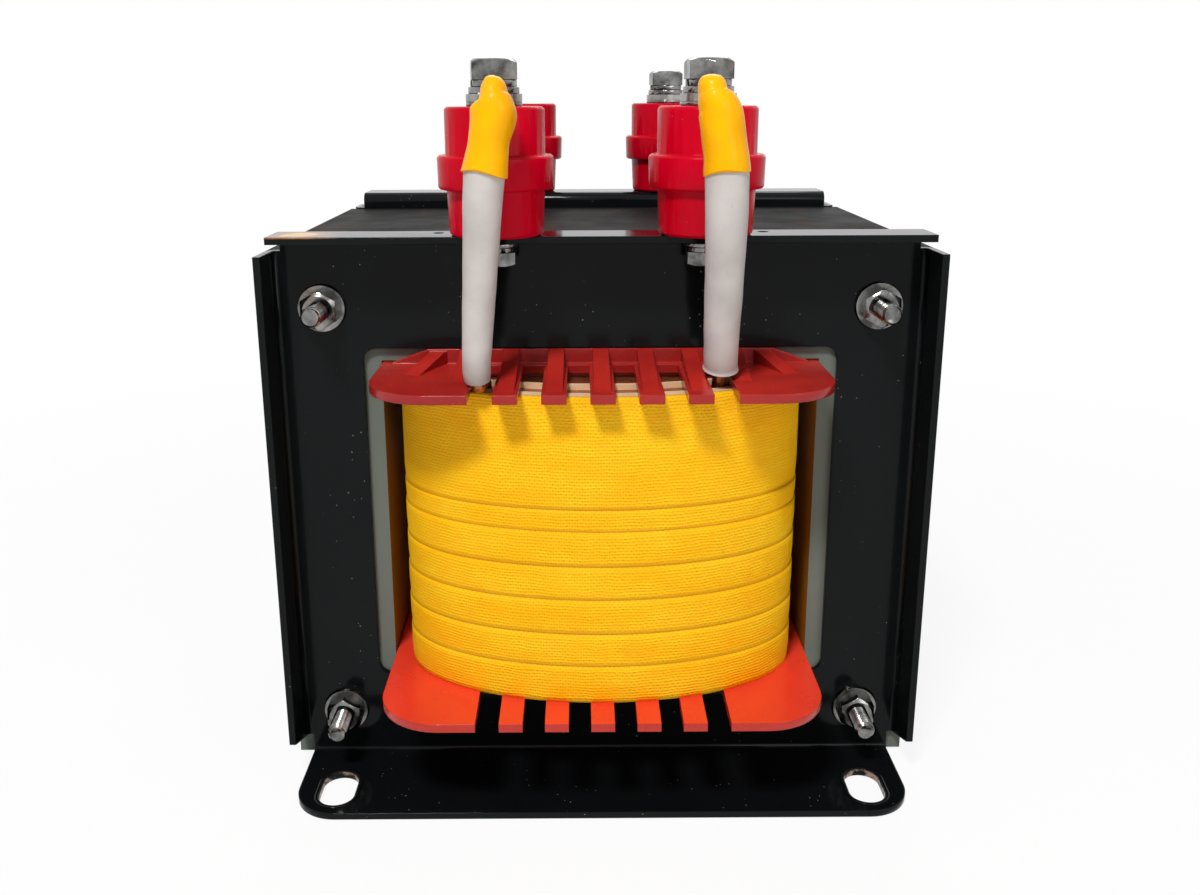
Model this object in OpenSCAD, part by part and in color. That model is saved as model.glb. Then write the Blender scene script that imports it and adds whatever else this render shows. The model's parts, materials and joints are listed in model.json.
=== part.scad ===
// Laminated chassis transformer: EI core clamped between two pressed steel end
// brackets, taped coil on a moulded bobbin, four drum insulators with terminal
// bolts and sleeved leads. The foot undersides lie at z = 0 and the front is -y.

/* [Core] */
// Width of one winding window, which is half the tongue width
window_w = 32; // [30:0.5:34]
// Thickness of the lamination stack
stack = 130; // [124:1:140]
// Number of interleaved lamination packets, an odd number
packets = 13; // [9:2:15]
// Diameter of the clamp bolt holes in the laminations
core_hole_d = 9; // [8.6:0.1:10]
// Gap between the underside of the core and the mounting surface
core_lift = 0.5; // [0.3:0.1:1]

/* [Brackets] */
// Thickness of the bracket sheet
sheet = 2; // [1.6:0.1:2.5]
// Inside radius of the bends
bend_r = 1.2; // [1:0.1:2]
// Height of the top flange's upper face above the core
flange_rise = 6; // [5:0.5:8]
// Depth of the top flange from the back of the plate
flange_depth = 17.5; // [17:0.5:20]
// Depth of the side lips from the back of the plate
lip_depth = 16; // [12:0.5:18]
// Depth of the foot from the back of the plate
foot_depth = 36; // [34:0.5:40]
// Corner radius of the foot
foot_corner_r = 13; // [8:1:14]
// Margin of core face that shows round the winding window
window_margin = 5; // [4:0.5:6]
// Corner radius of the bracket's window
window_corner_r = 4; // [3:0.5:6]

/* [Mounting slots] */
// Distance between the left and right mounting slots
slot_spacing = 158; // [154:1:160]
// Width of a mounting slot
slot_w = 10.5; // [8:0.5:11]
// Overall length of a mounting slot, which runs front to back
slot_len = 17; // [14:0.5:18]
// Distance of a slot's centre from the back of the plate
slot_offset = 23.5; // [22:0.5:24]

/* [Bobbin and coil] */
// Thickness of the bobbin flanges
flange_t = 2.5; // [2:0.1:3]
// Wall of the bobbin tube
tube_wall = 2.5; // [2:0.1:3]
// Overhang of the bobbin's top flange in front of the core
top_overhang = 40; // [36:1:42]
// Overhang of the bobbin's bottom flange in front of the core
bottom_overhang = 44; // [38:1:46]
// Corner radius of the bobbin flanges
lobe_r = 18; // [14:1:22]
// Distance between the middles of neighbouring flange fingers
finger_pitch = 12.8; // [12:0.1:13.5]
// Width of a flange finger
finger_w = 6.6; // [6:0.1:7]
// Overhang of the finished coil in front of the core
coil_overhang = 33; // [31:0.5:34]
// Gap between the finished coil and the core's outer legs
coil_side_gap = 5.5; // [5:0.5:8]

/* [Terminals] */
// Distance between the left and right insulators
post_spacing = 57; // [52:1:62]
// Distance of an insulator's axis from the back of the plate
post_offset = 12.3; // [12:0.1:13]
// Height of an insulator
post_h = 34; // [32:0.5:36]
// Diameter of an insulator's middle band
post_band_d = 31.4; // [30:0.2:33]
// Thread size of the terminal bolts
terminal_d = 8; // [8:8]
// Distance of the lead boots' axis from the back of the plate
boot_offset = 35.4; // [35:0.1:36]

/* [Clamp bolts] */
// Thread size of the long clamp bolts
clamp_d = 6; // [6:6]
// Length of bolt that stands out in front of the bracket
clamp_out = 15.5; // [14:0.5:17]

/* [Hidden] */
$fn = 64;
eps = 0.01;

// Core, from the scrapless EI proportions
core_w = 6 * window_w;
core_h = 5 * window_w;
window_h = 3 * window_w;
tongue_w = 2 * window_w;
core_z0 = core_lift;
core_z1 = core_z0 + core_h;
window_z0 = core_z0 + window_w;
window_z1 = window_z0 + window_h;
half = stack / 2;
packet_t = stack / packets;
hole_x = 2.5 * window_w;
hole_zs = [core_z0 + window_w / 2, core_z1 - window_w / 2];

// Brackets, in a local frame whose y runs outwards from the core's end face
bend_out = bend_r + sheet;
flange_z = core_z1 + flange_rise;
plate_w = core_w - 10;
lip_w = core_w - 2;
lip_z0 = core_z0 + 7;
lip_z1 = core_z1 + 0.5;
lip_slope = 5;
bolt_clearance = 0.6;
pilot_x = 45;
pilot_offset = 8;
pilot_d = 3;

// Bobbin and coil
fit = 0.4;
bobbin_w = tongue_w + 4 * window_w / 2 - 2 * fit;
bobbin_z0 = window_z0 + fit;
bobbin_z1 = window_z1 - fit;
tube_x = tongue_w / 2 + fit;
tube_y = half + fit;
wall_t = 2;
wall_rise = 4.2;
wall_top_x = 50;
wall_end_x = 61;
fingers = [-2:2];
lobe_x = 2 * finger_pitch + finger_w / 2 + 6.6;
gap_back = 5;
rib_w = 4.6;
coil_x = tongue_w / 2 + window_w - coil_side_gap;
coil_z0 = bobbin_z0 + flange_t;
coil_z1 = bobbin_z1 - flange_t;
tape_t = 1.6;
outer_t = 3.4;
primary_t = 8;
inter_t = 1.6;
margin = 1.5;
arc_steps = 16;
// Heights of the tape's lap edges as shares of the coil's height
laps = [0, 0.125, 0.235, 0.35, 0.46, 0.575, 0.645, 1];
lap_step = 0.35;

// Terminals
post_top = flange_z + post_h;
post_r = 13.4;
post_foot_r = 12.8;
band_h = 9;
insert_h = 12;
seat_washer_t = 1.2;
lug_t = 2;
washer_t = 1.8;
spring_t = 1.8;
head_h = 5.4;
head_af = 12;
lug_z = post_top + seat_washer_t;
stack_z = lug_z + lug_t + washer_t;
base_d = 6;
base_washer_t = 1.2;
base_spring_t = 1.4;
base_head_h = 4;
post_y = half + post_offset;
boot_y = half + boot_offset;
boot_x = post_spacing / 2 - 0.5;
boot_z0 = post_top - 16;
boot_z1 = post_top + 8;
barrel_r = 4.2;
barrel_len = 10;
barrel_z0 = post_top - 11;
lug_bend = 3;
neck_w = 6;
wall_gap = 0.1;
// Lean of the boots, outwards at the bottom, left and right
left_lean = 6;
right_lean = 8;

// Clamp bolts
nut_flange_d = 14.2;
nut_flange_t = 1.3;
nut_h = 6;
nut_af = 10;

// Routes of the leads below the boots, given for the right-hand side of the
// front: sideways, outwards from the core, up from the top of the coil. The
// last value is the radius of the sleeve.
left_route = [
    [30.5, 35, 48.4, 4.9], [31.3, 34, 36.4, 4.6], [32.2, 33, 24.4, 4.3], [33, 32, 14.4, 4],
    [33.4, 31, 7.4, 3.7], [33.2, 30.2, 4.2, 3.3]
];
right_route = [
    [31.2, 34.5, 48.4, 5.4], [31.6, 32, 36.4, 5.2], [31.8, 29, 24.4, 5], [32, 26, 15.4, 4.9],
    [32.2, 24, 9.4, 4.8], [32.4, 22.5, 5.4, 4.8]
];
// Bare ends of the leads, from the sleeves into the coil
left_tail = [
    [33.1, 29.9, 3.3], [33, 29, 2.4], [32.9, 27.5, 2.2], [32.6, 23.5, 2.2],
    [32.4, 21, 1.8], [32.4, 19.6, 0.8], [32.4, 19.3, -0.6], [32.4, 19.3, -margin]
];
right_tail = [[32.4, 21, 2.4], [32.4, 19.8, 0.6], [32.4, 19.3, -0.6], [32.4, 19.3, -margin]];
lead_r = 2;
sleeve_top_r = 5.1;
sleeve_wall = 0.8;
tube_sides = 12;

black_paint = [0.05, 0.05, 0.06];
zinc = [0.75, 0.76, 0.78];
brass_colour = [0.80, 0.66, 0.32];
lamination_grey = [0.34, 0.36, 0.34];
bobbin_red = [0.66, 0.14, 0.11];
insulator_red = [0.78, 0.0, 0.12];
tape_yellow = [0.97, 0.72, 0.10];
paper_cream = [0.93, 0.85, 0.66];
copper = [0.72, 0.38, 0.20];
boot_yellow = [1.0, 0.82, 0.0];
sleeve_grey = [0.84, 0.82, 0.80];
fibre_brown = [0.45, 0.30, 0.20];

// ---------- helpers ----------

module at_rear() {
    mirror([0, 1, 0]) children();
}

// Local bracket frame: y measured outwards from the core's front face
module at_front_face() {
    translate([0, -half, 0]) mirror([0, 1, 0]) children();
}

module front_and_rear() {
    children();
    at_rear() children();
}

module left_and_right() {
    children();
    mirror([1, 0, 0]) children();
}

module at_clamp_bolts() {
    for (sx = [-1, 1], z = hole_zs)
        translate([sx * hole_x, 0, z]) children();
}

module at_posts() {
    for (sx = [-1, 1], sy = [-1, 1])
        translate([sx * post_spacing / 2, sy * post_y, 0]) children();
}

// The posts with a bolt on top; the rear left one is left free
module at_terminals() {
    for (post = [[-1, -1], [1, -1], [1, 1]])
        translate([post[0] * post_spacing / 2, post[1] * post_y, 0]) children();
}

// Angle section with a bent corner at the origin, legs along +x and +y
module angle_section(leg_x, leg_y) {
    difference() {
        union() {
            translate([bend_out, 0]) square([leg_x - bend_out, sheet]);
            translate([0, bend_out]) square([sheet, leg_y - bend_out]);
            intersection() {
                square(bend_out);
                translate([bend_out, bend_out]) circle(bend_out);
            }
        }
        translate([bend_out, bend_out]) circle(bend_r);
    }
}

module rounded_rect(w, h, r) {
    translate([-w / 2 + r, -h / 2]) square([w - 2 * r, h]);
    translate([-w / 2, -h / 2 + r]) square([w, h - 2 * r]);
    for (sx = [-1, 1], sy = [-1, 1])
        translate([sx * (w / 2 - r), sy * (h / 2 - r)]) circle(r);
}

module hex_prism(af, h, chamfer = 0.8) {
    r = af / 2 / cos(30);
    intersection() {
        rotate(30) cylinder(h = h, r = r, $fn = 6);
        union() {
            cylinder(h = h - chamfer + eps, r = r + 1);
            translate([0, 0, h - chamfer]) cylinder(h = chamfer, r1 = r + 0.1, r2 = af / 2 - 0.7);
        }
    }
}

module washer(outer_d, inner_d, t) {
    difference() {
        cylinder(h = t, d = outer_d);
        translate([0, 0, -1]) cylinder(h = t + 2, d = inner_d);
    }
}

module split_washer(outer_d, inner_d, t, cut_angle) {
    difference() {
        washer(outer_d, inner_d, t);
        rotate(cut_angle) translate([inner_d / 4, 0, t / 2]) rotate([18, 0, 0])
            translate([0, -0.6, -t]) cube([outer_d, 1.2, 2 * t]);
    }
}

// ---------- brackets ----------

module bracket_blank() {
    // Plate between the bends
    translate([-plate_w / 2, 0, bend_out])
        cube([plate_w, sheet, flange_z - 2 * bend_out]);
    // Top flange
    translate([-plate_w / 2, 0, flange_z]) rotate([90, 0, 90]) mirror([0, 1])
        linear_extrude(plate_w) angle_section(flange_depth, 2 * bend_out);
    // Foot with rounded front corners
    intersection() {
        translate([-plate_w / 2, 0, 0]) rotate([90, 0, 90])
            linear_extrude(plate_w) angle_section(foot_depth, 2 * bend_out);
        linear_extrude(bend_out * 2) foot_outline();
    }
    left_and_right() lip();
}

module foot_outline() {
    translate([0, foot_depth / 2 - foot_corner_r]) rounded_rect(plate_w, foot_depth + 2 * foot_corner_r, foot_corner_r);
}

// Side lip on the +x side, cut sloping at its lower end
module lip() {
    difference() {
        translate([lip_w / 2, 0, lip_z0]) mirror([1, 0, 0])
            linear_extrude(lip_z1 - lip_z0) angle_section(3 * bend_out, lip_depth);
        translate([lip_w / 2 - bend_out, 0, lip_z0])
            rotate([90, 0, 90]) translate([0, 0, -1]) linear_extrude(2 * bend_out)
            polygon([[bend_out, -1], [bend_out, 0], [lip_depth + 1, lip_slope], [lip_depth + 1, -1]]);
    }
}

module bracket() {
    difference() {
        bracket_blank();
        // Winding window
        translate([0, 0, (window_z0 + window_z1) / 2]) rotate([-90, 0, 0]) translate([0, 0, -1])
            linear_extrude(sheet + 2)
            rounded_rect(tongue_w + 2 * window_w + 2 * window_margin, window_h + 2 * (window_margin - 1),
                window_corner_r);
        // Clamp bolt holes
        at_clamp_bolts() rotate([-90, 0, 0]) translate([0, 0, -1])
            cylinder(h = sheet + 2, d = clamp_d + bolt_clearance);
        left_and_right() {
            // Insulator hole
            translate([post_spacing / 2, post_offset, flange_z - sheet - 1])
                cylinder(h = sheet + 2, d = base_d + bolt_clearance);
            // Small pilot hole
            translate([pilot_x, pilot_offset, flange_z - sheet - 1]) cylinder(h = sheet + 2, d = pilot_d);
            mounting_slot();
        }
    }
}

module mounting_slot() {
    run = slot_len - slot_w;
    translate([slot_spacing / 2, slot_offset, -1]) {
        for (s = [-1, 1]) translate([0, s * run / 2, 0]) cylinder(h = sheet + 2, d = slot_w);
        translate([-slot_w / 2, -run / 2, 0]) cube([slot_w, run, sheet + 2]);
    }
}

module front_bracket() {
    color(black_paint) at_front_face() bracket();
}

module rear_bracket() {
    color(black_paint) at_rear() at_front_face() bracket();
}

// ---------- core ----------

// E shape with its back at the top of the core, in the x-z plane
module e_shape() {
    difference() {
        translate([-core_w / 2, window_w]) square([core_w, core_h - window_w]);
        for (s = [-1, 1])
            translate([s * (tongue_w + window_w) / 2 - window_w / 2, window_w]) square([window_w, window_h]);
        for (s = [-1, 1]) translate([s * hole_x, core_h - window_w / 2]) circle(d = core_hole_d);
    }
}

module i_shape() {
    difference() {
        translate([-core_w / 2, 0]) square([core_w, window_w]);
        for (s = [-1, 1]) translate([s * hole_x, window_w / 2]) circle(d = core_hole_d);
    }
}

// Places a flat shape as packet number k, turned over in every other packet
module packet(k) {
    translate([0, -half + (k + 1) * packet_t, core_z0 + core_h / 2]) rotate([90, 0, 0])
        linear_extrude(packet_t) mirror([0, k % 2]) translate([0, -core_h / 2]) children();
}

module e_laminations() {
    color(lamination_grey) for (k = [0:packets - 1]) packet(k) e_shape();
}

module i_laminations() {
    color(lamination_grey) for (k = [0:packets - 1]) packet(k) i_shape();
}

// ---------- bobbin ----------

module bobbin_flange_outline(overhang) {
    difference() {
        rounded_rect(bobbin_w, 2 * (half + overhang), lobe_r);
        square([2 * tube_x, 2 * tube_y], center = true);
        // Gaps between the fingers at both ends
        for (sy = [-1, 1], k = [-3:2]) {
            x0 = k == -3 ? -lobe_x : k * finger_pitch + finger_w / 2;
            x1 = k == 2 ? lobe_x : (k + 1) * finger_pitch - finger_w / 2;
            translate([x0, sy > 0 ? half + gap_back : -half - overhang - 1])
                square([x1 - x0, overhang - gap_back + 1]);
        }
    }
}

// Rib that falls away from the wall to the flange, pointing along +y
module rib(length, rise = wall_rise) {
    rotate([90, 0, 90]) translate([0, 0, -rib_w / 2]) linear_extrude(rib_w)
        polygon([[0, -eps], [0, rise], [wall_t, rise], [length, 0], [length, -eps]]);
}

// Wall and ribs on the outside of a flange, standing in front of the core
module flange_stiffeners(overhang) {
    translate([0, half + fit, 0]) {
        rotate([90, 0, 0]) mirror([0, 0, 1]) linear_extrude(wall_t)
            polygon([[-wall_end_x, -eps], [-wall_top_x, wall_rise], [wall_top_x, wall_rise], [wall_end_x, -eps]]);
        for (k = fingers) translate([k * finger_pitch, 0, 0]) rib(overhang - 4);
        left_and_right() {
            translate([lobe_x + 3, 0, 0]) rib(25);
            translate([46.5, 1, 0]) rotate(-22) rib(17, wall_rise - 0.6);
        }
    }
}

module bobbin_end(overhang) {
    linear_extrude(flange_t) bobbin_flange_outline(overhang);
    translate([0, 0, flange_t]) front_and_rear() flange_stiffeners(overhang);
}

module bobbin() {
    color(bobbin_red) {
        translate([0, 0, bobbin_z1 - flange_t]) bobbin_end(top_overhang);
        translate([0, 0, bobbin_z0 + flange_t]) mirror([0, 0, 1]) bobbin_end(bottom_overhang);
        translate([0, 0, bobbin_z0]) linear_extrude(bobbin_z1 - bobbin_z0) difference() {
            square([2 * (tube_x + tube_wall), 2 * (tube_y + tube_wall)], center = true);
            square([2 * tube_x, 2 * tube_y], center = true);
        }
    }
}

// ---------- coil ----------

// Outline of the coil at a given depth below its finished surface: straight
// sides past the core and half an ellipse at each end
function coil_outline(inset) = [
    for (end = [-1, 1], k = [0:arc_steps])
        let (a = (end < 0 ? 180 : 0) + 180 * k / arc_steps)
        [(coil_x - inset) * cos(a), end * half + (coil_overhang - inset) * sin(a)]
];

module coil_ring(outer_inset, inner_inset, z0, z1) {
    translate([0, 0, z0]) linear_extrude(z1 - z0) difference() {
        polygon(coil_outline(outer_inset));
        polygon(coil_outline(inner_inset));
    }
}

module primary_winding() {
    inset = coil_x - tube_x - tube_wall - primary_t;
    color(copper) translate([0, 0, coil_z0 + margin]) linear_extrude(coil_z1 - coil_z0 - 2 * margin) difference() {
        polygon(coil_outline(inset));
        square([2 * (tube_x + tube_wall), 2 * (tube_y + tube_wall)], center = true);
    }
}

module winding_insulation() {
    inset = coil_x - tube_x - tube_wall - primary_t;
    color(paper_cream) coil_ring(inset - inter_t, inset, coil_z0, coil_z1);
}

module secondary_winding() {
    inset = coil_x - tube_x - tube_wall - primary_t - inter_t;
    color(copper) coil_ring(tape_t + outer_t, inset, coil_z0 + margin, coil_z1 - margin);
}

module outer_insulation() {
    color(paper_cream) coil_ring(tape_t, tape_t + outer_t, coil_z0, coil_z1);
}

// Cloth tape in lapped turns, every other turn standing a little proud
module coil_tape() {
    height = coil_z1 - coil_z0;
    color(tape_yellow) for (k = [0:len(laps) - 2])
        coil_ring(k % 2 == 0 ? 0 : lap_step, tape_t, coil_z0 + height * laps[k], coil_z0 + height * laps[k + 1]);
}

// ---------- clamp bolts ----------

module clamp_bolts() {
    color(zinc) at_clamp_bolts() {
        translate([0, -half - sheet - clamp_out, 0]) rotate([-90, 0, 0]) {
            cylinder(h = 1, d1 = clamp_d - 1.4, d2 = clamp_d);
            translate([0, 0, 1]) cylinder(h = stack + 2 * sheet + clamp_out - 1 + eps, d = clamp_d);
        }
        translate([0, half + sheet, 0]) rotate([-90, 0, 0]) {
            cylinder(h = nut_flange_t, d1 = nut_flange_d, d2 = nut_flange_d - 0.8);
            hex_prism(nut_af, nut_h);
        }
    }
}

module clamp_sleeves() {
    color(fibre_brown) at_clamp_bolts() translate([0, -half, 0]) rotate([-90, 0, 0])
        washer(core_hole_d - 0.4, clamp_d + 0.4, stack);
}

module clamp_flange_nuts() {
    color(zinc) at_clamp_bolts() translate([0, -half - sheet, 0]) rotate([90, 0, 0]) difference() {
        union() {
            cylinder(h = nut_flange_t, d1 = nut_flange_d, d2 = nut_flange_d - 0.8);
            hex_prism(nut_af, nut_h);
        }
        translate([0, 0, -1]) cylinder(h = nut_h + 2, d = clamp_d);
    }
}

// ---------- insulators and terminals ----------

module insulator_profile() {
    band_z0 = (post_h - band_h) / 2;
    band_z1 = band_z0 + band_h;
    band_r = post_band_d / 2;
    edge = 0.7;
    polygon([
        [0, 0], [post_foot_r - edge, 0], [post_foot_r, edge], [post_r - 0.1, band_z0],
        [band_r - 0.6, band_z0], [band_r - 0.2, band_z0 + 0.6], [band_r, band_z1 - edge],
        [band_r - edge, band_z1], [post_r, band_z1], [post_r, post_h - edge], [post_r - edge, post_h], [0, post_h]
    ]);
}

module insulator(sx, sy) {
    color(insulator_red) translate([sx * post_spacing / 2, sy * post_y, flange_z]) difference() {
        rotate_extrude() insulator_profile();
        translate([0, 0, post_h - insert_h]) cylinder(h = insert_h + 1, d = 14);
        translate([0, 0, -1]) cylinder(h = insert_h + 1, d = 11);
    }
}

// Threaded insert whose open face is at z = 0, going down
module insert(outer_d, inner_d) {
    mirror([0, 0, 1]) difference() {
        cylinder(h = insert_h, d = outer_d);
        translate([0, 0, -1]) cylinder(h = insert_h - 1, d = inner_d);
    }
}

module terminal_inserts() {
    color(brass_colour) at_posts() translate([0, 0, post_top]) insert(14, terminal_d);
}

module base_inserts() {
    color(brass_colour) at_posts() translate([0, 0, flange_z]) mirror([0, 0, 1]) insert(11, base_d);
}

module terminal_seat_washers() {
    color(zinc) at_terminals() translate([0, 0, post_top]) washer(15, terminal_d + 0.4, seat_washer_t);
}

module terminal_washers() {
    color(zinc) at_terminals() translate([0, 0, lug_z + lug_t]) washer(13.6, terminal_d + 0.4, washer_t);
}

module terminal_spring_washers() {
    color(zinc) at_terminals() translate([0, 0, stack_z]) split_washer(12.4, terminal_d + 0.3, spring_t, 200);
}

module terminal_bolts() {
    color(zinc) at_terminals() {
        translate([0, 0, stack_z + spring_t]) rotate(8) hex_prism(head_af, head_h, 1.2);
        translate([0, 0, post_top - insert_h + 3]) cylinder(h = stack_z + spring_t - post_top + insert_h - 3 + eps,
            d = terminal_d);
    }
}

module base_washers() {
    color(zinc) at_posts() translate([0, 0, flange_z - sheet - base_washer_t])
        washer(12, base_d + 0.4, base_washer_t);
}

module base_spring_washers() {
    color(zinc) at_posts() translate([0, 0, flange_z - sheet - base_washer_t - base_spring_t])
        split_washer(10.6, base_d + 0.3, base_spring_t, -70);
}

module base_bolts() {
    under = sheet + base_washer_t + base_spring_t;
    color(zinc) at_posts() translate([0, 0, flange_z - under]) {
        mirror([0, 0, 1]) hex_prism(10, base_head_h);
        translate([0, 0, -eps]) cylinder(h = under + insert_h - 3, d = base_d);
    }
}

// ---------- lugs, boots and leads ----------

// The pieces of one terminal are built at the front right and mirrored
module at_corner(sx, sy) {
    mirror([sx < 0 ? 1 : 0, 0, 0]) mirror([0, sy > 0 ? 1 : 0, 0]) translate([0, -half, 0]) mirror([0, 1, 0])
        children();
}

function lean(sx) = sx < 0 ? left_lean : right_lean;

// Leans the boot and the barrel about the bend of the lug
module leaning(sx) {
    translate([boot_x, boot_offset, lug_z]) rotate([0, -lean(sx), 0]) translate([0, 0, -lug_z]) children();
}

// Ring lug bent down through a right angle, with its barrel in the boot
module lug(sx, sy) {
    shank_z = barrel_z0 + barrel_len / 2;
    color(zinc) at_corner(sx, sy) difference() {
        union() {
            translate([post_spacing / 2, post_offset, lug_z]) cylinder(h = lug_t, d = 15);
            translate([boot_x - neck_w / 2, post_offset, lug_z])
                cube([neck_w, boot_offset - post_offset - lug_bend + 1, lug_t]);
            leaning(sx) {
                translate([-neck_w / 2, 1 - lug_bend, lug_z - lug_bend]) rotate([90, 0, 90])
                    linear_extrude(neck_w) intersection() {
                        square(lug_bend + lug_t);
                        difference() {
                            circle(lug_bend + lug_t);
                            circle(lug_bend);
                        }
                    }
                translate([-neck_w / 2, 1, shank_z]) cube([neck_w, lug_t, lug_z - lug_bend - shank_z + eps]);
                translate([0, 0, barrel_z0]) cylinder(h = barrel_len, r = barrel_r);
            }
        }
        translate([post_spacing / 2, post_offset, lug_z - 1]) cylinder(h = lug_t + 2, d = terminal_d + 0.4);
        leaning(sx) translate([0, 0, barrel_z0 - 1]) cylinder(h = barrel_len - 1, r = lead_r + wall_gap);
    }
}

module boot_profile() {
    polygon(concat(
        [[0, boot_z0], [6, boot_z0], [5.8, boot_z0 + 4], [5.6, boot_z0 + 9], [6, boot_z0 + 15], [5.7, boot_z0 + 17]],
        [for (a = [0:15:90]) [4.6 * cos(a), boot_z1 - 4.8 + 4.8 * sin(a)]]
    ));
}

// Soft cap over the lug's barrel and the top of the sleeve, open at the back for the lug's neck
module boot(sx, sy) {
    slot_w = neck_w + 4 * wall_gap;
    color(boot_yellow) at_corner(sx, sy) leaning(sx) difference() {
        rotate_extrude() boot_profile();
        translate([0, 0, boot_z0 - 1]) cylinder(h = barrel_z0 - boot_z0 + 1, r = sleeve_top_r + wall_gap);
        translate([0, 0, barrel_z0 - eps]) cylinder(h = barrel_len + wall_gap, r = barrel_r + wall_gap);
        translate([-slot_w / 2, -boot_offset, lug_z - lug_bend - 0.5])
            cube([slot_w, boot_offset + 1 + lug_t + wall_gap, lug_bend + lug_t + 1 + 2 * wall_gap]);
    }
}

function unit(v) = v / norm(v);

// Ring of points square to the route at station k
function ring_at(path, k, r) = let (
        n = len(path),
        ahead = path[min(k + 1, n - 1)],
        behind = path[max(k - 1, 0)],
        along = unit([ahead[0] - behind[0], ahead[1] - behind[1], ahead[2] - behind[2]]),
        across = unit(cross(along, [0, 1, 0])),
        out = cross(across, along),
        centre = [path[k][0], path[k][1], path[k][2]]
    ) [for (i = [0:tube_sides - 1]) let (a = 360 * i / tube_sides)
        centre + r * cos(a) * across + r * sin(a) * out];

// Solid tube along a route of points; radii holds one radius for each point
module swept(path, radii) {
    n = len(path);
    s = tube_sides;
    points = [for (k = [0:n - 1]) each ring_at(path, k, radii[k])];
    sides = [for (k = [0:n - 2], i = [0:s - 1])
        [k * s + i, k * s + (i + 1) % s, (k + 1) * s + (i + 1) % s, (k + 1) * s + i]];
    polyhedron(points, concat(sides, [[for (i = [s - 1:-1:0]) i]], [[for (i = [0:s - 1]) (n - 1) * s + i]]));
}

// Point on the leaning axis of a boot, at a given drop below the lug
function boot_axis(sx, drop) = [boot_x + drop * sin(lean(sx)), boot_offset, lug_z - drop * cos(lean(sx))];

function above_coil(p) = [p[0], p[1], coil_z1 + p[2]];

// Stations of the sleeve: two inside the boot, then the route
function sleeve_path(sx) = concat(
    [boot_axis(sx, lug_z - barrel_z0 + 0.3), boot_axis(sx, lug_z - boot_z0 + 0.5)],
    [for (p = sx < 0 ? left_route : right_route) above_coil(p)]
);
function sleeve_radii(sx) = concat(
    [sleeve_top_r, sleeve_top_r],
    [for (p = sx < 0 ? left_route : right_route) p[3]]
);

module sleeve(sx, sy) {
    path = sleeve_path(sx);
    radii = sleeve_radii(sx);
    last = len(path) - 1;
    first_step = unit(path[0] - path[1]);
    last_step = unit(path[last] - path[last - 1]);
    color(sleeve_grey) at_corner(sx, sy) difference() {
        swept(path, radii);
        // The bore runs past both ends
        swept(concat([path[0] + first_step], path, [path[last] + last_step]),
            [for (k = [-1:last + 1]) radii[max(0, min(k, last))] - sleeve_wall]);
    }
}

module lead(sx, sy) {
    path = concat(
        [boot_axis(sx, lug_z - barrel_z0 - barrel_len + 3)],
        sleeve_path(sx),
        [for (p = sx < 0 ? left_tail : right_tail) above_coil(p)]
    );
    color(copper) at_corner(sx, sy) swept(path, [for (p = path) lead_r]);
}

front_bracket();
rear_bracket();
e_laminations();
i_laminations();
bobbin();
primary_winding();
winding_insulation();
secondary_winding();
outer_insulation();
coil_tape();
clamp_bolts();
clamp_sleeves();
clamp_flange_nuts();
insulator(-1, -1);  // insulator_front_left
insulator(1, -1);  // insulator_front_right
insulator(-1, 1);  // insulator_rear_left
insulator(1, 1);  // insulator_rear_right
terminal_inserts();
base_inserts();
terminal_bolts();
terminal_spring_washers();
terminal_washers();
terminal_seat_washers();
lug(-1, -1);  // lug_front_left
lug(1, -1);  // lug_front_right
lug(1, 1);  // lug_rear_right
boot(-1, -1);  // boot_front_left
boot(1, -1);  // boot_front_right
boot(1, 1);  // boot_rear_right
sleeve(-1, -1);  // sleeve_front_left
sleeve(1, -1);  // sleeve_front_right
sleeve(1, 1);  // sleeve_rear_right
lead(-1, -1);  // lead_front_left
lead(1, -1);  // lead_front_right
lead(1, 1);  // lead_rear_right
base_bolts();
base_spring_washers();
base_washers();
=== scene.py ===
import json
import math

import bpy
from mathutils import Matrix, Vector, noise


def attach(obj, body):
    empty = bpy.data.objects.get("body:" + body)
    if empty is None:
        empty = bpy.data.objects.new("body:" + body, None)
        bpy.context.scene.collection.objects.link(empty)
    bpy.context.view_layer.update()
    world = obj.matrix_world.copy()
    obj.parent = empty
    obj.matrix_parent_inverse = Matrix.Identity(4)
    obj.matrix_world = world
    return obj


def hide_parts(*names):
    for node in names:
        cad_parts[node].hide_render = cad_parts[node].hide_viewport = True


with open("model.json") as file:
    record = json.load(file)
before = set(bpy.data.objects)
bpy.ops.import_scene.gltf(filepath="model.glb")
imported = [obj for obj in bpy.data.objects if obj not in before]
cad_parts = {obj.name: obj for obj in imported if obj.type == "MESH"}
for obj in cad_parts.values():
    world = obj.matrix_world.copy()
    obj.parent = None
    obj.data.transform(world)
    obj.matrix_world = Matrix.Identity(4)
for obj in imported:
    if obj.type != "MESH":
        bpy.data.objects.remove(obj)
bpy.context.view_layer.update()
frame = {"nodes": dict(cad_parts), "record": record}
NODES = frame["nodes"]
MM = 0.001

# ---------- sizes shared with the part's source, in millimetres ----------

HALF = 65  # half of the core's stack
SHEET = 2
HOLE_X = 80
HOLE_ZS = (16.5, 144.5)
CLAMP_R = 3
CLAMP_OUT = 15.5
NUT_H = 6
NUT_AF = 10
NUT_FLANGE_R = 7.1
COIL_X = 58.5
COIL_OVERHANG = 33
TAPE_T = 0.8
SLOT_X = 79
SLOT_Y = 88.5
SLOT_HALF = 3.25
SLOT_R = 5.25


# ---------- node helpers ----------


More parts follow.
